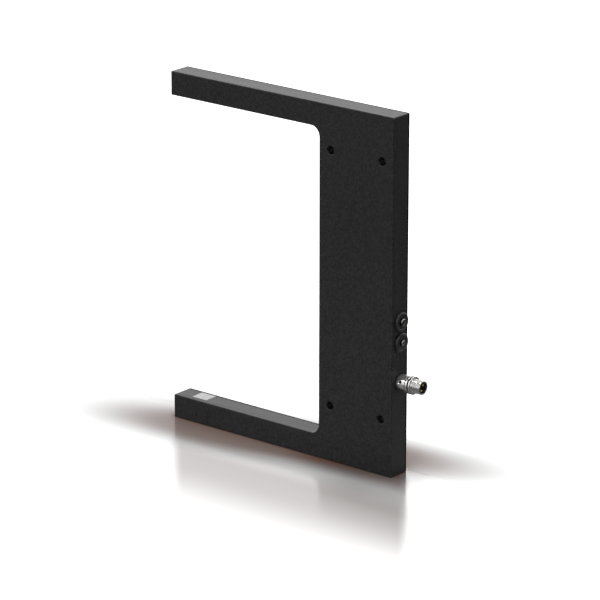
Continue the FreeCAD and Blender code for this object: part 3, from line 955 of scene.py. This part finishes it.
# %% Sizes of the plug
shell_low, shell_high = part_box("plug_shell")
plug_axis = axis_of("plug_seal")
SHANK_X, TIP_X = shell_low.x / MM, shell_high.x / MM
BASE_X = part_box("plug_seal")[1].x / MM
RING_X = BASE_X + 6.4
THREAD_X = RING_X + 3.1
SHELL_RADIUS, BASE_RADIUS, RING_RADIUS, GROOVE_RADIUS = 4.0, 4.8, 5.15, 4.2
FIRST_GROOVE, FIRST_RING_END, SECOND_RING_START = RING_X - 0.7, RING_X + 1.25, RING_X + 2.25
THREAD_DEPTH, THREAD_PITCH = 0.55, 1.0
BORE_RADIUS = 3.3
print("ring and thread start at", round(RING_X, 2), "and", round(THREAD_X, 2), "mm")

# %% The thread's shape
FLANK_SLOPE, CREST_SHARE = 1.25, 0.125
RUN_IN_START, RUN_IN = 0.2, 0.5
RUN_OUT_END, RUN_OUT = 0.15, 0.35
TIP_CHAMFER = 0.25


def from_0_to_1(value):
    return min(1.0, max(0.0, value))


def thread_reach(x, angle):
    """The thread's radius at a place along the axis and an angle, both ends faded."""
    phase = (x - THREAD_X) / THREAD_PITCH - angle / (2 * math.pi)
    crest = abs((phase % 1) * 2 - 1)
    cut = THREAD_DEPTH * from_0_to_1(FLANK_SLOPE * crest - CREST_SHARE)
    run_in = from_0_to_1((x - THREAD_X - RUN_IN_START) / RUN_IN)
    run_out = from_0_to_1((TIP_X - RUN_OUT_END - x) / RUN_OUT)
    chamfer = max(0.0, x - (TIP_X - TIP_CHAMFER))
    return min(SHELL_RADIUS - cut * (run_in * run_out), SHELL_RADIUS - chamfer)


deepest = min(thread_reach(THREAD_X + 0.1 * step, 0) for step in range(50))
print("the thread's core radius in mm:", round(deepest, 2))

# %% The threaded shell
SHELL_SEGMENTS, THREAD_STEPS = 128, 110
MOUTH_EASE = 0.1


def shell_rings():
    """Rings of pairs of a position and a radius, round the shell and back through its bore."""
    before = eased([
        (SHANK_X, BORE_RADIUS), (SHANK_X, SHELL_RADIUS), (BASE_X, SHELL_RADIUS),
        (BASE_X, BASE_RADIUS), (FIRST_GROOVE, BASE_RADIUS), (FIRST_GROOVE, GROOVE_RADIUS),
        (RING_X, GROOVE_RADIUS), (RING_X, RING_RADIUS), (FIRST_RING_END, RING_RADIUS),
        (FIRST_RING_END, GROOVE_RADIUS), (SECOND_RING_START, GROOVE_RADIUS),
        (SECOND_RING_START, RING_RADIUS), (THREAD_X, RING_RADIUS), (THREAD_X, SHELL_RADIUS),
    ], 0.12, 3, closed=False)
    rings = [[pair] * SHELL_SEGMENTS for pair in before[1:]]
    turns = [2 * math.pi * index / SHELL_SEGMENTS for index in range(SHELL_SEGMENTS)]
    for step in range(1, THREAD_STEPS + 1):
        x = THREAD_X + (TIP_X - THREAD_X) * step / THREAD_STEPS
        rings.append([(x * MM, thread_reach(x, turn) * MM) for turn in turns])
    inside = [
        (TIP_X, BORE_RADIUS + MOUTH_EASE), (TIP_X - MOUTH_EASE, BORE_RADIUS), (SHANK_X, BORE_RADIUS)
    ]
    return rings + [[pair] * SHELL_SEGMENTS for pair in in_mm(inside)]


def shell_mesh():
    """The whole shell, with a fine grid where the thread is."""
    shape = bmesh.new()
    verts = []
    for ring in shell_rings():
        row = []
        for index, (along, across) in enumerate(ring):
            angle = 2 * math.pi * index / SHELL_SEGMENTS
            y = plug_axis.y + across * math.cos(angle)
            z = plug_axis.z + across * math.sin(angle)
            row.append(shape.verts.new((along, y, z)))
        verts.append(row)
    join_rings(shape, verts + verts[:1])
    return closed_object("plug_sleeve", shape)


sleeve = shell_mesh()
print("sleeve faces:", len(sleeve.data.polygons))

# %% The spanner hole and the dark grooves
SPANNER_X, SPANNER_TURN = BASE_X + 2.7, math.radians(23)
SPANNER_PROFILE = [(3.8, 0), (3.8, 0.9), (4.55, 0.9), (6, 2.35), (6, 0)]
SHADE_RADIUS = 4.1 * MM
outward = Vector((0, -math.cos(SPANNER_TURN), math.sin(SPANNER_TURN)))
spanner_floor = Vector((SPANNER_X, 0, 0)) * MM + plug_axis + outward * SHADE_RADIUS
# Painted shade: the colour is darkened at the floor of the spanner hole and in the grooves before
# the rings.
hole_shaded = nickel.darkened(plated, spanner_floor, (1, 1, 1), 0.8 * MM, 1.1 * MM)
groove_centre = Vector((RING_X + 0.7, 0, 0)) * MM + plug_axis
groove_shaded = nickel.darkened(hole_shaded, groove_centre, (1, 1, 1), 4.45 * MM, 4.6 * MM)
nickel.wire(groove_shaded, "Base Color")

spanner = turned("spanner_hole", in_mm(SPANNER_PROFILE), (0, 0, 0), axis="Z", segments=48)
spanner.data.transform(outward.to_track_quat("Z", "X").to_matrix().to_4x4())
spanner.data.transform(Matrix.Translation((SPANNER_X * MM, plug_axis.y, plug_axis.z)))
boolean(sleeve, spanner)
shade(sleeve, 40)
dress(sleeve, nickel.material, "housing", "plug_shell")

# %% [markdown]
# ### Core, contacts and seal
# In the shell's mouth lies a black core with a key rib, so that the mating plug fits in one turn
# only, and three gold contacts stand in it. The contacts are one pin on three points, so the tree
# that put the screws in place makes them too. A rubber ring seals the plug on the rear wall.

# %% The plug's core
core_low, core_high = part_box("plug_insert")
CORE_FACE, CORE_RADIUS = TIP_X - 6.0, 3.25
KEY_HALF_WIDTH, KEY_LOW, KEY_HIGH = 0.45 * MM, 2.7 * MM, 3.18 * MM
PIN_CIRCLE, PIN_RADIUS, PIN_HOLE_RADIUS = 1.9 * MM, 0.5, 0.55 * MM
PIN_ANGLES = (150, 30, 270)
core_profile = eased(cylinder(core_low.x / MM, CORE_FACE, CORE_RADIUS), 0.15, 4, closed=False)
core = turned("plug_core", core_profile, plug_axis, segments=96)
key = block(
    "key",
    (CORE_FACE * MM - PAST, plug_axis.y - KEY_HALF_WIDTH, plug_axis.z + KEY_LOW),
    (core_high.x, plug_axis.y + KEY_HALF_WIDTH, plug_axis.z + KEY_HIGH),
)
boolean(core, key, "UNION")
pin_spots = []
for turn in (math.radians(degrees) for degrees in PIN_ANGLES):
    y = plug_axis.y + PIN_CIRCLE * math.cos(turn)
    z = plug_axis.z + PIN_CIRCLE * math.sin(turn)
    pin_spots.append((0, y, z))
    hole_profile = cylinder(core_low.x - PAST, CORE_FACE * MM + PAST, PIN_HOLE_RADIUS)
    boolean(core, turned("pin_hole", hole_profile, (0, y, z), segments=32))
shade(core)
dress(core, matte_black, "housing", "plug_insert")

# %% Contacts and seal
pins_low, pins_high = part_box("plug_pins")
pin_line = cylinder(pins_low.x / MM, pins_high.x / MM, PIN_RADIUS)
pin_model = turned("pin_model", eased(pin_line, 0.35, 6, closed=False), (0, 0, 0), segments=32)
shade(pin_model, 60)
contacts = repeated("plug_contacts", repeat_on_points, pin_model, pin_spots, gold)
dress(contacts, gold, "housing", "plug_pins")

SEAL_HOLE, SEAL_RADIUS = 4.05, 5.0
seal_low, seal_high = (corner.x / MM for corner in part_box("plug_seal"))
seal_profile = eased([
    (seal_low, SEAL_HOLE), (seal_low, SEAL_RADIUS), (seal_high, SEAL_RADIUS),
    (seal_high, SEAL_HOLE),
], 0.2, 5)
seal = turned("plug_seal_ring", seal_profile, plug_axis, segments=96)
shade(seal, 60)
dress(seal, rubber, "housing", "plug_seal")

# %% [markdown]
# ## The hidden works
# Boards, headers, chips and leads sit behind the cover. Their solids already have the right shape,
# so they stay, and each gets the finish of its material.

# %% Finishes for the solids that stay
nodes_of = {
    rubber: ["cover_gasket"],
    board_green: ["emitter_board", "receiver_board", "main_board"],
    clear_resin: ["emitter_led", "power_led", "output_led"],
    package_black: ["receiver_photodiode", "signal_chip", "voltage_regulator"],
    matte_black: ["emitter_lens_holder", "receiver_lens_holder"],
    lens_glass: ["emitter_lens", "receiver_lens"],
    grey_lead: ["emitter_ribbon", "receiver_ribbon", "plug_leads"],
    package_yellow: ["smoothing_capacitors"],
    header_cream: ["emitter_header", "receiver_header", "plug_header"],
    package_blue: ["sensitivity_potentiometer", "selector_switch"],
}
for material, names in nodes_of.items():
    for name in names:
        solid = nodes[name]
        solid.data.materials.clear()
        solid.data.materials.append(material)
print("solids that stay:", sum(map(len, nodes_of.values())), "of", len(nodes))

# %% [markdown]
# ## The floor
# The sensor stands on a plain white floor. The photograph shows four things on it: a soft oval
# shade, a narrow dark line at the foot, a mirror image that fades towards the viewer, and a light
# grey shade under that image. Soft lamps alone don't give them, so they are made in the floor's
# material, by the place on the floor, and only for rays that come straight from the camera: the
# three shades are painted shade, and the mirror image is a real mirror that fades by place. The
# sensor itself still sees a matte floor.

# %% The floor's plane
FLOOR_HALF = 4.0
floor_mesh = bpy.data.meshes.new("studio_floor")
shape = bmesh.new()
shape.faces.new([
    shape.verts.new((x * FLOOR_HALF, y * FLOOR_HALF, 0))
    for x, y in ((-1, -1), (1, -1), (1, 1), (-1, 1))
])
shape.to_mesh(floor_mesh)
shape.free()
floor = bpy.data.objects.new("studio_floor", floor_mesh)
bpy.context.scene.collection.objects.link(floor)
print("floor side in m:", 2 * FLOOR_HALF)

# %% Where a point of the floor lies
floor_paint = bpy.data.materials.new("glossy_white_floor")
floor_paint.use_nodes = True
floor_paint.node_tree.nodes.clear()
paint = Nodes(floor_paint.node_tree)
rays = paint.new("ShaderNodeLightPath").outputs
seen, in_gloss = rays["Is Camera Ray"], rays["Is Glossy Ray"]
spot = paint.new("ShaderNodeTexCoord").outputs["Object"]
split = paint.filled(paint.new("ShaderNodeSeparateXYZ"), {0: spot})
to_right, to_back = split["X"], split["Y"]
print("nodes in the floor's tree:", len(floor_paint.node_tree.nodes))

# %% [markdown]
# ### The floor's own white
# The floor is matte and nearly white. For the camera it also glows with painted light, a little
# outside the oval shade and further away up to pure white, so that it runs into the background
# without a horizon. In the gloss of the sensor it looks darker, as the far studio floor in the
# photograph does: this is painted shade, and it deepens towards the right.

# %% The oval and the white
OVAL_CENTRE, OVAL_TURN = (-4.4 * MM, 4.7 * MM, 0), math.radians(13)
OVAL_HALVES = (143 * MM, 39 * MM, 1)
WHITE, LIFT_COLOUR = (0.87, 0.87, 0.87, 1), (1.0, 0.97, 0.95, 1)
oval = paint.new("ShaderNodeMapping")
oval.vector_type = "TEXTURE"
in_oval = paint.filled(oval, {
    "Vector": spot, "Location": OVAL_CENTRE, "Rotation": (0, 0, OVAL_TURN), "Scale": OVAL_HALVES,
})["Vector"]
away = paint.vector_math("LENGTH", in_oval)["Value"]

tone = paint.new("ShaderNodeMix")
tone.data_type = "RGBA"
# Painted shade: the floor's tone for gloss rays, darker towards the right, so that the sensor
# mirrors a dark floor.
gloss_tone = paint.fade(to_right, 0.08, 0.24, 0.27, 0.05)
paint.filled(tone, {"Factor": in_gloss, "A": WHITE, "B": gloss_tone})
matte = paint.filled(paint.new("ShaderNodeBsdfDiffuse"), {"Color": tone.outputs["Result"]})[0]
# Painted light: a glow that only the camera sees, slight just outside the oval shade and up to the
# backdrop's white far away.
near_lift = paint.fade(away, 0.85, 1.2, 0.0, 0.35)
far_lift = paint.fade(away, 3.0, 6.0, 0.0, 0.8)
lift = paint.filled(paint.new("ShaderNodeEmission"), {
    "Color": LIFT_COLOUR, "Strength": paint.product(paint.math("ADD", near_lift, far_lift), seen),
})[0]
white = paint.filled(paint.new("ShaderNodeAddShader"), {0: matte, 1: lift})[0]
print("nodes in the floor's tree:", len(floor_paint.node_tree.nodes))

# %% [markdown]
# ### Mirror image, front shade and contact shade
# The mirror image starts at the front face, fades towards the viewer, and is stronger under the
# body than under the arm. The front shade, a painted shade of light grey, lies between two lines
# that run towards the viewer. Both, and the narrow painted contact shade, are products of soft
# steps. At last the floor is mixed with two dark brown tints of painted shade: the oval's, which is
# the warmer one, and that of front shade and contact shade.

# %% Mirror, veil and shade
# A direction across the line, and where something starts and is complete along that direction.
LEFT_LINE = ((0.7540, 0.6569, 0), -0.070, -0.060)
RIGHT_LINE = ((0.7910, 0.6118, 0), 0.072, 0.062)
BODY_LINE = ((0.7773, 0.6291, 0), -0.010, 0.040)
MIRROR = {"Color": (0.57, 0.57, 0.57, 1), "Roughness": 0.17}
OVAL_TINT, FRONT_SHADE_TINT = (0.085, 0.022, 0.0, 1), (0.05, 0.012, 0.002, 1)


def past_line(line, first=0.0):
    """A share that grows from first to 1 across a line on the floor."""
    across, start, end = line
    reach = paint.vector_math("DOT_PRODUCT", spot, across)["Value"]
    return paint.fade(reach, start, end, first, 1.0)


image = paint.product(
    paint.fade(to_back, -0.092, -0.012, 0.0, 0.74), past_line(BODY_LINE, 0.6),
    paint.fade(to_back, 0.007, 0.012, 1.0, 0.0), seen,
)
# Painted shade: between two lines the floor is darkened to a light grey under the mirror image, and
# to a narrow dark line at the foot.
between = paint.product(past_line(LEFT_LINE), past_line(RIGHT_LINE))
front_shade = paint.product(
    paint.fade(to_back, -0.137, -0.062, 0.0, 0.52),
    paint.fade(to_back, -0.05, -0.015, 1.0, 0.0), between,
)
contact = paint.product(
    paint.fade(to_back, -0.026, -0.008, 0.0, 0.6), paint.fade(to_back, -0.004, 0.004, 1.0, 0.0),
    past_line(BODY_LINE, 0.6), between,
)
# Painted shade: towards the oval's middle the floor keeps less of its own tone and takes on a dark
# brown.
oval_kept = paint.fade(away, 0.53, 0.97, 0.35, 1.0)
front_shade_kept = paint.product(paint.rest_of(front_shade), paint.rest_of(contact))

mirror = paint.filled(paint.new("ShaderNodeBsdfGlossy"), MIRROR)[0]
surface = paint.mixed(image, white, mirror)
for kept, tint in ((oval_kept, OVAL_TINT), (front_shade_kept, FRONT_SHADE_TINT)):
    warm = paint.filled(paint.new("ShaderNodeEmission"), {"Color": tint})[0]
    surface = paint.mixed(paint.product(paint.rest_of(kept), seen), surface, warm)
paint.filled(paint.new("ShaderNodeOutputMaterial"), {"Surface": surface})
floor.data.materials.append(floor_paint)
print("nodes in the floor's tree:", len(floor_paint.node_tree.nodes))

# %% [markdown]
# ## The light
# A strip above the sensor lights its top faces, and a softbox from the left front its broad face.
# Both are area lamps, because a point lamp or a sun draws hard-edged shadows, which the photograph
# doesn't have. Their power was found by comparing the tones of each face with the photograph's.


# %% Lamps
def softbox(name, place, aim, width, height, power, spin=0):
    """A rectangular lamp that looks at a point, spun by some degrees about its line of sight."""
    data = bpy.data.lights.new(name, "AREA")
    data.shape = "RECTANGLE"
    data.size, data.size_y, data.energy = width, height, power
    lamp = bpy.data.objects.new(name, data)
    bpy.context.scene.collection.objects.link(lamp)
    sight = (Vector(aim) - Vector(place)).to_track_quat("-Z", "Y").to_matrix().to_4x4()
    spun = Matrix.Rotation(math.radians(spin), 4, "Z")
    lamp.matrix_world = Matrix.Translation(place) @ sight @ spun
    print(name, "watts:", power)


softbox(
    "overhead_strip", place=(0.09, 0.0, 0.85), aim=(0, 0, 0),
    width=0.26, height=0.08, power=6.4, spin=25,
)
softbox(
    "left_front", place=(-0.9, -0.75, 0.95), aim=(0, 0, 0.1), width=0.38, height=0.3, power=3.2
)

# %% [markdown]
# ## The world
# The camera sees plain white behind the floor. Soft light from all round is much weaker, so the
# white background costs the black sensor no contrast. What the sensor's gloss sees is a studio of
# its own: a bright wall low all round, and a brighter one behind the sensor, which the plug and the
# top faces mirror.

# %% World
AMBIENT = 0.21
WALL_DIRECTION = (-0.607, 0.734, 0.304)
world = bpy.data.worlds.new("white_studio")
bpy.context.scene.world = world
world.use_nodes = True
studio = Nodes(world.node_tree)
rays = studio.new("ShaderNodeLightPath").outputs
direction = studio.new("ShaderNodeTexCoord").outputs["Generated"]
height = studio.filled(studio.new("ShaderNodeSeparateXYZ"), {0: direction})["Z"]
towards_wall = studio.vector_math("DOT_PRODUCT", direction, WALL_DIRECTION)["Value"]
back_wall = studio.fade(towards_wall, 0.45, 0.93, 0.25, 1.8)
low_wall = studio.fade(height, 0.45, 0.70, 1.3, 0.25)
strength = studio.filled(studio.new("ShaderNodeMix"), {
    "Factor": rays["Is Glossy Ray"], "A": AMBIENT,
    "B": studio.math("MAXIMUM", back_wall, low_wall),
})["Result"]
around = world.node_tree.nodes["Background"]
studio.filled(around, {"Color": (1, 1, 1, 1), "Strength": strength})
backdrop = studio.new("ShaderNodeBackground")
studio.filled(backdrop, {"Color": (1, 1, 1, 1), "Strength": 1.0})
surface = studio.mixed(rays["Is Camera Ray"], around.outputs[0], backdrop.outputs[0])
studio.filled(world.node_tree.nodes["World Output"], {"Surface": surface})
bpy.context.scene.view_settings.view_transform = "Standard"
print("nodes in the world's tree:", len(world.node_tree.nodes))
